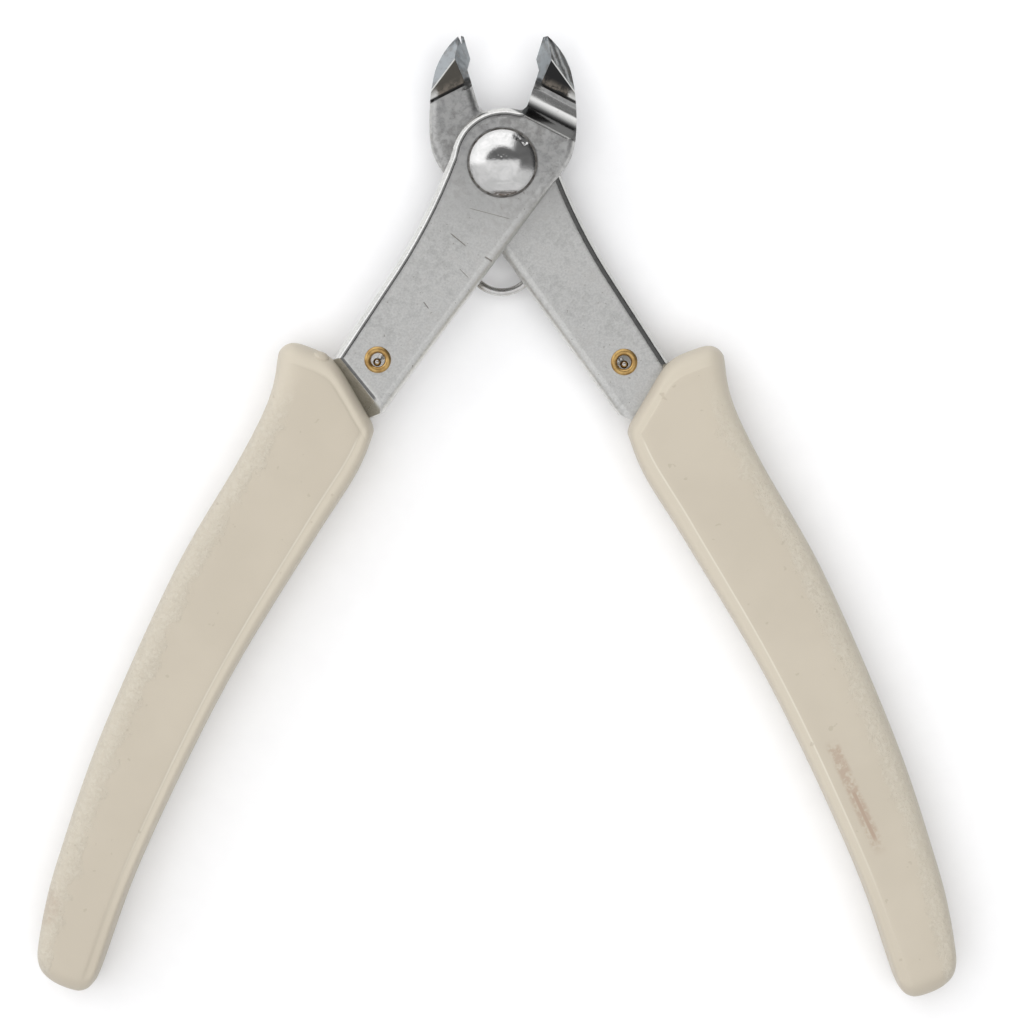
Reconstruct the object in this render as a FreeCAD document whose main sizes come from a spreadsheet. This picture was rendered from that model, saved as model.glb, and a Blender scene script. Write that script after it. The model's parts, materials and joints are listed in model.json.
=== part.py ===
import FreeCAD, Part
import math
import os

import Sketcher

# Lap-jointed sprue nippers. Both halves are drawn closed, with the pivot axis on Z and the jaws
# towards +Y. z = 0 is the face where the front half laps over the rear half. The front half
# carries the left handle and the right jaw, the rear half the right handle and the left jaw.
# At rest the return spring holds the tool open by open_half on each side.

SIZES = {
    # plates
    "plate_thick": 2.5,
    "lap_gap": 0.05,
    "open_half": 17.4,
    "rim_round": 1.2,
    "back_round": 0.35,
    # head and neck outline, distances from the pivot
    "head_radius": 6.65,
    "head_side": 6.35,
    "head_side_drop": 1.0,
    "head_side_round": 4.0,
    "waist_out": 9.3,
    "waist_drop": 18.4,
    "neck_radius": 72.0,
    "blade_in": 4.6,
    "blade_drop": 33.7,
    # tang inside the grip
    "tang_in": 6.4,
    "tang_drop": 35.2,
    "tang_length": 44.0,
    "tang_tip_in": 17.2,
    "tang_tip_out": 22.3,
    "tang_in_radius": 230.0,
    "tang_out_radius": 310.0,
    "tang_tip_radius": 2.6,
    # jaw outline
    "jaw_reach": 16.65,
    "tip_width": 0.5,
    "tip_step": 0.25,
    "cut_length": 2.8,
    "edge_gap": 0.01,
    "jaw_hollow": 0.75,
    "hollow_top": 12.4,
    "throat_reach": 6.85,
    "throat_round": 1.0,
    "cheek_out": 4.6,
    "cheek_reach": 13.4,
    "cheek_radius": 9.0,
    "jaw_width": 8.05,
    "jaw_wide_at": 3.4,
    "jaw_side_radius": 26.0,
    "jaw_root_round": 7.0,
    # jaw facets
    "groove_tilt": 10.0,
    "groove_at": 11.0,
    "groove_depth": 0.3,
    "groove_width": 0.3,
    "apex_across": 1.9,
    "apex_reach": 14.0,
    "apex_height": 1.3,
    "flush_angle": 21.0,
    "flush_start": 9.5,
    "bevel_start": 1.4,
    "outer_turn": 40.0,
    "outer_slope": 42.0,
    "nick_across": 0.5,
    "nick_width": 0.4,
    "nick_depth": 1.1,
    # bends of the front plate
    "bend_slope": 50.0,
    "bend_radius": 1.4,
    "scoop_at": 6.35,
    "ridge_radius": 0.4,
    "scoop_radius": 4.2,
    "step_at": 30.7,
    "step_tilt": 33.2,
    "lap_clear": 0.35,
    "stop_clear": 0.08,
    # pivot
    "shank_radius": 2.5,
    "pivot_clear": 0.05,
    "sink_radius": 4.4,
    "sink_depth": 0.45,
    "washer_thick": 0.3,
    "washer_radius": 4.3,
    "dome_radius": 4.05,
    "dome_rim": 0.25,
    "dome_height": 1.5,
    "tail_radius": 3.9,
    "tail_rim": 0.45,
    "tail_height": 0.8,
    "tail_clear": 0.03,
    # brass eyelets
    "eyelet_out": 7.2,
    "eyelet_drop": 27.8,
    "eyelet_bore": 0.875,
    "eyelet_barrel": 1.15,
    "eyelet_flange": 1.65,
    "eyelet_fit": 0.02,
    # return spring
    "wire_radius": 0.5,
    "coil_radius": 4.2,
    "coil_drop": 11.5,
    "coil_pitch": 1.25,
    "coil_clear": 0.25,
    "hook_round": 1.2,
    "hook_sink": 0.25,
    "hook_offset": 0.146,
    # grips
    "grip_thick": 10.5,
    "grip_edge": 1.5,
    "mouth_out": 12.35,
    "mouth_drop": 29.1,
    "mouth_in": 4.9,
    "mouth_in_drop": 36.1,
    "mouth_corner": 1.2,
    "mouth_slant": 43.2,
    "top_out": 17.4,
    "top_rise": 0.15,
    "top_side": 19.15,
    "top_side_drop": 30.7,
    "top_round": 1.8,
    "finger_out": 19.64,
    "finger_drop": 44.0,
    "finger_radius": 26.0,
    "grip_length": 84.2,
    "heel_out": 25.95,
    "heel_rise": 8.3,
    "grip_out_radius": 200.0,
    "heel_turn_out": 23.6,
    "heel_turn_rise": 1.7,
    "heel_radius": 7.5,
    "toe_out": 19.6,
    "end_radius": 9.0,
    "toe_in": 17.25,
    "toe_rise": 2.6,
    "toe_radius": 2.6,
    "palm_in": 5.6,
    "palm_drop": 42.0,
    "grip_in_radius": 279.0,
    "slot_side": 0.1,
    "relief_out": 0.9,
    "relief_drop": 3.2,
    "relief_in_drop": 1.15,
    # stock left on the jaw head for grinding, and how far cutting profiles run past the metal
    "grind_stock": 0.5,
    "past": 3.0,
    # a rolled flange is a hair over its half round, so that its arc can be drawn
    "roll_spare": 1.001,
}


class Size:
    """A number together with the spreadsheet expression that gives it."""

    def __init__(self, value, text):
        self.value = float(value)
        self.text = text

    def mix(self, other, sign, work):
        other = other if isinstance(other, Size) else Size(other, repr(float(other)))
        return Size(work(self.value, other.value), f"({self.text} {sign} {other.text})")

    def __add__(self, other):
        return self.mix(other, "+", lambda a, b: a + b)

    def __sub__(self, other):
        return self.mix(other, "-", lambda a, b: a - b)

    def __mul__(self, other):
        return self.mix(other, "*", lambda a, b: a * b)

    def __truediv__(self, other):
        return self.mix(other, "/", lambda a, b: a / b)

    __radd__ = __add__
    __rmul__ = __mul__

    def __rsub__(self, other):
        return self * -1 + other

    def __neg__(self):
        return self * -1

    def sin(self):
        return Size(math.sin(math.radians(self.value)), f"sin({self.text} * 1deg)")

    def cos(self):
        return Size(math.cos(math.radians(self.value)), f"cos({self.text} * 1deg)")

    def tan(self):
        return Size(math.tan(math.radians(self.value)), f"tan({self.text} * 1deg)")


def number(value):
    return value.value if isinstance(value, Size) else float(value)


class Named:
    """Gives every cell of the sheet as a Size, by its alias."""

    def __getattr__(self, alias):
        return Size(SIZES[alias], "Sizes." + alias)


s = Named()
doc = FreeCAD.newDocument("sprue_nippers")


def make_sheet():
    sheet = doc.addObject("Spreadsheet::Sheet", "Sizes")
    cells = dict(SIZES, pivot_x=0.0, pivot_y=0.0, pivot_z=0.0)
    for row, (alias, value) in enumerate(cells.items(), start=1):
        sheet.set(f"A{row}", alias)
        sheet.set(f"B{row}", str(value))
        sheet.setAlias(f"B{row}", alias)
    doc.recompute()
    return sheet


def bind(obj, prop, value):
    if isinstance(value, Size):
        obj.setExpression(prop, value.text)
    else:
        setattr(obj, prop, value)


def new_body(name):
    body = doc.addObject("PartDesign::Body", name)
    body.Label = name
    return body


def new_sketch(body, name, role, base=(0, 0, 0), turn=None, axis=(0, 1, 0)):
    """A sketch on one of the body's own planes, moved by base and turned about a local axis."""
    sketch = body.newObject("Sketcher::SketchObject", name)
    plane = [item for item in body.Origin.OriginFeatures if item.Role == role][0]
    sketch.AttachmentSupport = [(plane, "")]
    sketch.MapMode = "FlatFace"
    rotation = FreeCAD.Rotation(FreeCAD.Vector(*axis), number(turn or 0))
    place = FreeCAD.Vector(*[number(value) for value in base])
    sketch.AttachmentOffset = FreeCAD.Placement(place, rotation)
    for letter, value in zip("xyz", base):
        if isinstance(value, Size):
            sketch.setExpression(f"AttachmentOffset.Base.{letter}", value.text)
    if isinstance(turn, Size):
        sketch.setExpression("AttachmentOffset.Rotation.Angle", f"{turn.text} * 1deg")
    return sketch


def pin(sketch, kind, geometry, corner, value):
    """Fixes one coordinate of a corner, or a radius, and binds it to the sheet."""
    if kind == "Radius":
        rule = Sketcher.Constraint(kind, geometry, number(value))
    else:
        rule = Sketcher.Constraint(kind, -1, 1, geometry, corner, number(value))
    index = sketch.addConstraint(rule)
    if isinstance(value, Size):
        name = f"{kind}{index}"
        sketch.renameConstraint(index, name)
        sketch.setExpression(f".Constraints.{name}", value.text)


def arc_through(start, end, radius, bulge):
    """The arc between two corners that bulges to the left (+1) or right (-1) of the way it goes.

    A sketch keeps its arcs anticlockwise, so one that bulges to the left runs from end to start.
    """
    chord = end - start
    half = chord.Length / 2
    rise = radius - math.sqrt(max(radius * radius - half * half, 0.0))
    side = FreeCAD.Vector(-chord.y, chord.x, 0).normalize()
    middle = (start + end) / 2 + side * rise * bulge
    return Part.Arc(end, middle, start) if bulge > 0 else Part.Arc(start, middle, end)


def draw(sketch, path):
    """Closed outline. Each step is (x, y), a straight run to that corner, or (x, y, radius, bulge)."""
    corners = [FreeCAD.Vector(number(step[0]), number(step[1]), 0) for step in path]
    ends = []
    for index, step in enumerate(path):
        start = corners[index - 1]
        end = corners[index]
        if len(step) == 2:
            geometry = sketch.addGeometry(Part.LineSegment(start, end), False)
            ends.append((geometry, 1, 2))
            continue
        arc = arc_through(start, end, number(step[2]), step[3])
        geometry = sketch.addGeometry(arc, False)
        ends.append((geometry, 2, 1) if step[3] > 0 else (geometry, 1, 2))
    for index, step in enumerate(path):
        geometry, first, last = ends[index]
        follower, follower_first, _ = ends[(index + 1) % len(path)]
        sketch.addConstraint(Sketcher.Constraint("Coincident", geometry, last, follower, follower_first))
        pin(sketch, "DistanceX", geometry, last, step[0])
        pin(sketch, "DistanceY", geometry, last, step[1])
        if len(step) == 4:
            pin(sketch, "Radius", geometry, 0, step[2])


def pad(body, sketch, name, length, midplane=False):
    feature = body.newObject("PartDesign::Pad", name)
    feature.Profile = sketch
    bind(feature, "Length", length)
    feature.SideType = "Symmetric" if midplane else "One side"
    return feature


def volume_after(body):
    doc.recompute()
    return body.Shape.Volume


def pocket(body, sketch, name, length=None, reverse=False):
    """Cuts the profile to a length, or through everything both ways, and checks that it cut."""
    before = volume_after(body)
    feature = body.newObject("PartDesign::Pocket", name)
    feature.Profile = sketch
    if length is None:
        feature.SideType = "Symmetric"
        feature.Type = "ThroughAll"
    else:
        bind(feature, "Length", length)
        feature.Reversed = reverse
    after = volume_after(body)
    if after > before - 1e-4:
        raise RuntimeError(f"{name} removed nothing from {body.Label}")
    return feature


def revolve(body, sketch, name):
    feature = body.newObject("PartDesign::Revolution", name)
    feature.Profile = sketch
    feature.ReferenceAxis = (sketch, ["V_Axis"])
    feature.Angle = 360
    return feature


def round_hole(body, name, x, y, radius, z_from, depth):
    """A round pocket downwards from height z_from."""
    sketch = new_sketch(body, name + "_sketch", "XY_Plane", base=(0, 0, z_from))
    circle = Part.Circle(FreeCAD.Vector(number(x), number(y), 0), FreeCAD.Vector(0, 0, 1), number(radius))
    geometry = sketch.addGeometry(circle, False)
    pin(sketch, "DistanceX", geometry, 3, x)
    pin(sketch, "DistanceY", geometry, 3, y)
    pin(sketch, "Radius", geometry, 0, radius)
    return pocket(body, sketch, name, depth)


def mirrored(path, side):
    """The same outline on the other side of the Y axis: x and the bulges change sign."""
    steps = []
    for step in path:
        other = (step[0] * side, step[1])
        if len(step) == 4:
            other += (step[2], step[3] * side)
        steps.append(other)
    return steps


def tang_outline(grow=0.0):
    """The tang from the mouth of the grip to its rounded tip, grown sideways for the slot."""
    tip_drop = s.tang_drop + s.tang_length
    return [
        (-s.tang_in + grow, -s.tang_drop),
        (-s.tang_tip_in + grow, -tip_drop, s.tang_in_radius, -1),
        (-s.tang_tip_out - grow, -tip_drop, s.tang_tip_radius + grow, 1),
        (-s.mouth_out - grow, -s.mouth_drop, s.tang_out_radius, 1),
    ]


def plate_outline(side):
    """Jaw, head, neck and tang in one outline; the jaw is at +x and the handle at -x for side 1."""
    tip_in = s.jaw_reach - s.tip_step
    path = [
        (s.edge_gap, tip_in),
        (s.tip_width, s.jaw_reach),
        (s.cheek_out, s.cheek_reach, s.cheek_radius, 1),
        (s.jaw_width, s.jaw_wide_at, s.jaw_side_radius, 1),
        (-s.blade_in, -s.blade_drop),
    ]
    path += tang_outline()
    path += [
        (-s.waist_out, -s.waist_drop),
        (-s.head_side, -s.head_side_drop, s.neck_radius, -1),
        (s.jaw_hollow, s.throat_reach, s.head_radius, 1),
        (s.jaw_hollow, s.hollow_top),
        (s.edge_gap, tip_in - s.cut_length),
    ]
    return mirrored(path, side)


def bend(at, high, low, way, ridge, hollow):
    """An S-bend from height high down to height low that starts at a place and runs the given way.

    Its ridge and its hollow have their own radii.
    """
    ridge_reach = ridge * (s.bend_slope / 2).tan()
    hollow_reach = hollow * (s.bend_slope / 2).tan()
    low_at = at + way * ((high - low) / s.bend_slope.tan())
    return [
        (at - way * ridge_reach, high),
        (at + way * ridge_reach * s.bend_slope.cos(), high - ridge_reach * s.bend_slope.sin(), ridge, way),
        (low_at - way * hollow_reach * s.bend_slope.cos(), low + hollow_reach * s.bend_slope.sin()),
        (low_at + way * hollow_reach, low, hollow, -way),
    ]


def cut_jaw(body, side, top, face_path):
    """Grinds the jaw: face and groove, flush side, inner bevel and outer bevel."""
    above = top + 2 * s.past
    rise = s.apex_height + s.groove_depth
    along = s.groove_tilt.cos() * s.apex_reach + s.groove_tilt.sin() * s.apex_across
    slope = rise / (along - s.groove_at)
    beyond = s.jaw_reach + 2 * s.past
    face = face_path + [
        (s.groove_at - s.groove_width, 0.0),
        (s.groove_at, -s.groove_depth),
        (beyond, slope * (beyond - s.groove_at) - s.groove_depth),
        (beyond, above),
        (face_path[0][0], above),
    ]
    sketch = new_sketch(body, "face_sketch", "YZ_Plane", turn=-side * s.groove_tilt)
    draw(sketch, face)
    pocket(body, sketch, "jaw_face")

    below = -s.plate_thick - s.past
    sketch = new_sketch(body, "flush_sketch", "YZ_Plane")
    lift = (beyond - s.flush_start) * s.flush_angle.tan()
    draw(sketch, [
        (s.flush_start, -s.plate_thick),
        (beyond, lift - s.plate_thick),
        (beyond, below),
        (s.flush_start, below),
    ])
    pocket(body, sketch, "flush_face")

    start_y = s.flush_start + s.bevel_start * s.flush_angle.cos()
    start_z = s.bevel_start * s.flush_angle.sin() - s.plate_thick
    apex_above = (s.apex_height + s.plate_thick) * s.flush_angle.cos()
    apex_above = apex_above - (s.apex_reach - s.flush_start) * s.flush_angle.sin()
    grade = apex_above / s.apex_across
    sketch = new_sketch(body, "inner_bevel_sketch", "XZ_Plane", base=(0, start_z, -start_y),
                        turn=s.flush_angle, axis=(1, 0, 0))
    width = s.jaw_width
    draw(sketch, mirrored([
        (s.edge_gap, 0.0),
        (s.edge_gap + width, grade * width),
        (-width, grade * width),
        (-width, 0.0),
    ], side))
    pocket(body, sketch, "inner_bevel", s.jaw_reach)

    apex_u = s.apex_across * s.outer_turn.cos() + s.apex_reach * s.outer_turn.sin()
    sketch = new_sketch(body, "outer_bevel_sketch", "XZ_Plane", turn=side * s.outer_turn)
    drop = s.jaw_width * s.outer_slope.tan()
    draw(sketch, mirrored([
        (apex_u - s.jaw_width, s.apex_height + drop),
        (apex_u + s.jaw_width, s.apex_height - drop),
        (apex_u + s.jaw_width, s.apex_height + drop),
    ], side))
    pocket(body, sketch, "outer_bevel")


def pick_edges(shape, test):
    """Names of the edges whose two ends and middle all pass the test."""
    names = []
    for index, edge in enumerate(shape.Edges, start=1):
        middle = edge.valueAt((edge.FirstParameter + edge.LastParameter) / 2)
        points = [vertex.Point for vertex in edge.Vertexes] + [middle]
        if all(test(point) for point in points):
            names.append(f"Edge{index}")
    return names


def fillet(body, name, radius, test):
    doc.recompute()
    base = body.Tip
    names = pick_edges(base.Shape, test)
    feature = body.newObject("PartDesign::Fillet", name)
    feature.Base = (base, names)
    bind(feature, "Radius", radius)
    return feature


def corner_round(body, name, x, y, radius):
    """Rounds the upright edge of the outline that stands at (x, y)."""
    def on_corner(point):
        return math.hypot(point.x - number(x), point.y - number(y)) < 1e-3

    fillet(body, name, radius, on_corner)


def make_blank(body, side, top):
    """The stamped blank: the outline of one half with its corners rounded."""
    sketch = new_sketch(body, "blank_sketch", "XY_Plane", base=(0, 0, -s.plate_thick))
    draw(sketch, plate_outline(side))
    pad(body, sketch, "blank", top + s.plate_thick)
    corner_round(body, "jaw_root_corner", s.jaw_width * side, s.jaw_wide_at, s.jaw_root_round)
    corner_round(body, "head_corner", s.head_side * -side, -s.head_side_drop, s.head_side_round)
    corner_round(body, "throat_corner", s.jaw_hollow * side, s.throat_reach, s.throat_round)


def round_rim(body, side, name, radius, height):
    """Rounds the outline at one height, from the jaw's groove round the head to the grip."""
    def on_rim(point):
        tang = point.y < number(-s.blade_drop) - 1e-3 or (
            point.x * side < -SIZES["mouth_out"] - 1e-3)
        jaw = point.y > SIZES["hollow_top"] + 1e-3
        return abs(point.z - number(height)) < 1e-4 and not tang and not jaw

    fillet(body, name, radius, on_rim)


def make_front_plate():
    body = new_body("front_plate")
    top = s.plate_thick + s.lap_gap
    make_blank(body, 1, top)
    round_rim(body, 1, "front_rim", s.rim_round, top)

    cut_jaw(body, 1, top, bend(s.scoop_at, top, 0.0, 1, s.ridge_radius, s.scoop_radius))

    # the handle side is one plate thickness, stepped down to the tang in front of the grip
    deep = s.tang_drop + s.tang_length + s.mouth_out
    step = bend(-s.step_at, top, 0.0, -1, s.bend_radius, s.bend_radius)
    sketch = new_sketch(body, "tang_face_sketch", "YZ_Plane", turn=-s.step_tilt)
    draw(sketch, [(step[0][0], top + s.past)] + step + [(-deep, 0.0), (-deep, top + s.past)])
    pocket(body, sketch, "tang_face")

    shift = s.plate_thick * (s.bend_slope / 2).tan()
    under = bend(shift - s.step_at, s.lap_gap, -s.plate_thick, -1, s.bend_radius, s.bend_radius)
    low = -s.plate_thick - s.past
    sketch = new_sketch(body, "handle_back_sketch", "YZ_Plane", turn=-s.step_tilt)
    draw(sketch, [(0.0, s.lap_gap)] + under + [(under[-1][0], low), (0.0, low)])
    pocket(body, sketch, "handle_back")

    # room for the head of the rear half, up to the shoulder that stops the opening
    through = s.plate_thick + s.past
    round_hole(body, "lap_recess", 0.0, 0.0, s.head_radius + s.lap_clear, s.lap_gap, through)
    sketch = new_sketch(body, "stop_sketch", "XY_Plane", base=(0, 0, s.lap_gap),
                        turn=2 * s.open_half, axis=(0, 0, 1))
    stop = s.stop_clear
    draw(sketch, [
        (0.0, s.head_side_drop),
        (s.head_side + stop, s.head_side_drop),
        (s.head_side + stop, -s.head_side_drop),
        (s.waist_out + stop, -s.waist_drop, s.neck_radius, 1),
        (0.0, -s.waist_drop),
    ])
    pocket(body, sketch, "stop_shoulder", through)

    round_hole(body, "pivot_hole", 0.0, 0.0, s.shank_radius, top, top + through)
    round_hole(body, "head_sink", 0.0, 0.0, s.sink_radius, top, s.sink_depth)
    round_hole(body, "eyelet_hole", -s.eyelet_out, -s.eyelet_drop, s.eyelet_barrel + s.eyelet_fit,
               top, top + through)
    return body


def jaw_side_at(reach):
    """The point of the jaw's outer side at this reach, measured square to the groove."""
    start = FreeCAD.Vector(SIZES["cheek_out"], SIZES["cheek_reach"], 0)
    end = FreeCAD.Vector(SIZES["jaw_width"], SIZES["jaw_wide_at"], 0)
    side = arc_through(start, end, SIZES["jaw_side_radius"], 1).toShape()
    tilt = math.radians(SIZES["groove_tilt"])
    square = FreeCAD.Vector(math.sin(tilt), math.cos(tilt), 0)
    low = side.FirstParameter
    high = side.LastParameter
    for _ in range(50):
        middle = (low + high) / 2
        if side.valueAt(middle).dot(square) < reach:
            low = middle
        else:
            high = middle
    return side.valueAt(low)


def add_jaw_head(body, side, top):
    """The raised head of the jaw, from just short of the bottom of its groove to its tip."""
    reach = SIZES["groove_at"] - SIZES["groove_width"] / 4
    outer = jaw_side_at(reach)
    tilt = math.radians(SIZES["groove_tilt"])
    inner = (reach - SIZES["jaw_hollow"] * math.sin(tilt)) / math.cos(tilt)
    tip_in = s.jaw_reach - s.tip_step
    sketch = new_sketch(body, "head_sketch", "XY_Plane", base=(0, 0, -s.plate_thick))
    draw(sketch, mirrored([
        (s.edge_gap, tip_in),
        (s.tip_width, s.jaw_reach),
        (s.cheek_out, s.cheek_reach, s.cheek_radius, 1),
        (outer.x, outer.y, s.jaw_side_radius, 1),
        (s.jaw_hollow, inner),
        (s.jaw_hollow, s.hollow_top),
        (s.edge_gap, tip_in - s.cut_length),
    ], side))
    pad(body, sketch, "jaw_head", top + s.plate_thick)


def chip_tip(body):
    """The tip of the rear jaw is chipped between its two bevels."""
    sketch = new_sketch(body, "nick_sketch", "XY_Plane")
    above = s.jaw_reach + s.past
    wide = s.nick_width * ((s.past + s.nick_depth) / (2 * s.nick_depth))
    draw(sketch, [
        (-s.nick_across, s.jaw_reach - s.nick_depth),
        (-s.nick_across + wide, above),
        (-s.nick_across - wide, above),
    ])
    pocket(body, sketch, "nick")


def make_rear_plate():
    body = new_body("rear_plate")
    top = s.apex_height + s.grind_stock
    make_blank(body, -1, 0.0)
    round_rim(body, -1, "back_rim", s.back_round, -s.plate_thick)
    round_rim(body, -1, "front_rim", s.rim_round, 0.0)
    add_jaw_head(body, -1, top)
    deep = s.tang_drop + s.tang_length + s.mouth_out
    cut_jaw(body, -1, top, [(-deep, 0.0)])
    chip_tip(body)
    through = s.plate_thick + s.past
    round_hole(body, "pivot_hole", 0.0, 0.0, s.shank_radius + s.pivot_clear, 0.0, through)
    round_hole(body, "eyelet_hole", s.eyelet_out, -s.eyelet_drop, s.eyelet_barrel + s.eyelet_fit,
               0.0, through)
    return body


def make_revolved(name, path):
    """A turned or pressed round part; its outline is drawn as (radius, height)."""
    body = new_body(name)
    sketch = new_sketch(body, "profile", "XZ_Plane")
    draw(sketch, path)
    revolve(body, sketch, "turned")
    return body


def cap_radius(width, height):
    """Radius of the sphere that a cap of this width and height is cut from."""
    return (width * width + height * height) / (2 * height)


def make_rivet():
    seat = s.plate_thick + s.lap_gap - s.sink_depth + s.washer_thick
    rim = seat + s.dome_rim
    tail = -s.plate_thick - s.tail_clear
    tail_rim = tail - s.tail_rim
    return make_revolved("pivot_rivet", [
        (0.0, rim + s.dome_height),
        (s.dome_radius, rim, cap_radius(s.dome_radius, s.dome_height), 1),
        (s.dome_radius, seat),
        (s.shank_radius, seat),
        (s.shank_radius, tail),
        (s.tail_radius, tail),
        (s.tail_radius, tail_rim),
        (0.0, tail_rim - s.tail_height, cap_radius(s.tail_radius, s.tail_height), 1),
    ])


def make_washer():
    low = s.plate_thick + s.lap_gap - s.sink_depth
    high = low + s.washer_thick
    bore = s.shank_radius + s.pivot_clear
    return make_revolved("tension_washer", [
        (bore, high),
        (s.washer_radius, high),
        (s.washer_radius, low),
        (bore, low),
    ])


def make_eyelet(name, side, low, high):
    """A rolled tube with a half-round flange on each face of its plate."""
    roll = (s.eyelet_flange - s.eyelet_bore) / 2 * s.roll_spare
    x = s.eyelet_out * -side
    body = new_body(name)
    sketch = new_sketch(body, "profile", "XZ_Plane", base=(x, 0.0, s.eyelet_drop))
    draw(sketch, [
        (s.eyelet_bore, high),
        (s.eyelet_flange, high, roll, 1),
        (s.eyelet_barrel, high),
        (s.eyelet_barrel, low),
        (s.eyelet_flange, low),
        (s.eyelet_bore, low, roll, 1),
    ])
    revolve(body, sketch, "rolled")
    return body


def grip_outline():
    """The left grip from the front, from the inner corner of its mouth round the end and back."""
    end = s.mouth_drop + s.grip_length
    back = s.mouth_corner * s.mouth_slant.cos()
    rise = s.mouth_corner * s.mouth_slant.sin()
    return [
        (-s.mouth_in - back, rise - s.mouth_in_drop),
        (-s.mouth_out, -s.mouth_drop),
        (-s.top_out, -s.mouth_drop + s.top_rise),
        (-s.top_side, -s.top_side_drop, s.top_round, -1),
        (-s.finger_out, -s.finger_drop, s.finger_radius, 1),
        (-s.heel_out, -end + s.heel_rise, s.grip_out_radius, -1),
        (-s.heel_turn_out, -end + s.heel_turn_rise, s.heel_radius, -1),
        (-s.toe_out, -end, s.end_radius, -1),
        (-s.toe_in, -end + s.toe_rise, s.toe_radius, -1),
        (-s.palm_in, -s.palm_drop, s.grip_in_radius, 1),
        (-s.mouth_in, -s.mouth_in_drop - s.mouth_corner),
    ]


def make_grip(name, side):
    """One moulding for both handles; on the right it is turned over about its middle plane."""
    body = new_body(name)
    sketch = new_sketch(body, "outline", "XY_Plane", base=(0, 0, -s.plate_thick / 2),
                        turn=90 - 90 * side)
    draw(sketch, grip_outline())
    pad(body, sketch, "blank", s.grip_thick, midplane=True)
    half = s.grip_thick / 2
    middle = -s.plate_thick / 2

    def long_edge(point):
        return abs(abs(point.z - number(middle)) - number(half)) < 1e-4

    fillet(body, "edge_round", s.grip_edge, long_edge)

    # the slot that holds the tang; its two flat walls bear on the tang's faces
    slot = [(-s.tang_in + s.slot_side, -s.tang_drop)] + tang_outline(s.slot_side)[1:]
    slot += [
        (-s.mouth_out - s.slot_side + s.past, -s.mouth_drop + s.past),
        (-s.tang_in + s.slot_side + s.past, -s.tang_drop + s.past),
    ]
    sketch = new_sketch(body, "slot_sketch", "XY_Plane")
    draw(sketch, mirrored(slot, side))
    pocket(body, sketch, "slot", s.plate_thick)
    return body


def make_left_grip():
    """The left grip is also open in front of the tang, where the front half steps down to it."""
    body = make_grip("left_grip", 1)
    sketch = new_sketch(body, "step_relief_sketch", "XY_Plane",
                        base=(0, 0, s.plate_thick + s.lap_gap + s.slot_side))
    draw(sketch, [
        (-s.tang_in + s.slot_side, -s.tang_drop - s.relief_in_drop),
        (-s.mouth_out - s.relief_out, -s.mouth_drop - s.relief_drop),
        (-s.mouth_out - s.relief_out, -s.mouth_drop),
        (-s.mouth_out - s.relief_out + s.past, -s.mouth_drop + s.past),
        (-s.tang_in + s.slot_side + s.past, -s.tang_drop + s.past),
    ])
    pocket(body, sketch, "step_relief", s.plate_thick + s.lap_gap + s.slot_side)
    return body


def turned(x, y, angle):
    """The point (x, y) turned about the pivot by an angle in degrees."""
    c = math.cos(math.radians(angle))
    d = math.sin(math.radians(angle))
    return FreeCAD.Vector(x * c - y * d, x * d + y * c, 0)


def rounded(start, corner, end, radius):
    """Two runs joined by an arc, as edges, and the arc's far end."""
    back = (start - corner).normalize()
    out = (end - corner).normalize()
    half = (math.pi - back.getAngle(out)) / 2
    reach = radius * math.tan(half)
    first = corner + back * reach
    last = corner + out * reach
    middle_way = (back + out).normalize()
    middle = corner + middle_way * (radius / math.cos(half) - radius)
    return [
        Part.LineSegment(start, first).toShape(),
        Part.Arc(first, middle, last).toShape(),
        Part.LineSegment(last, end).toShape(),
    ]


def round_wire(edges, radius):
    """A solid round wire along the edges."""
    path = Part.Wire(edges)
    start = path.Edges[0]
    tangent = start.tangentAt(start.FirstParameter)
    circle = Part.Circle(start.valueAt(start.FirstParameter), tangent, radius)
    section = Part.Wire([circle.toShape()])
    return path.makePipeShell([section], True, False)


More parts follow.
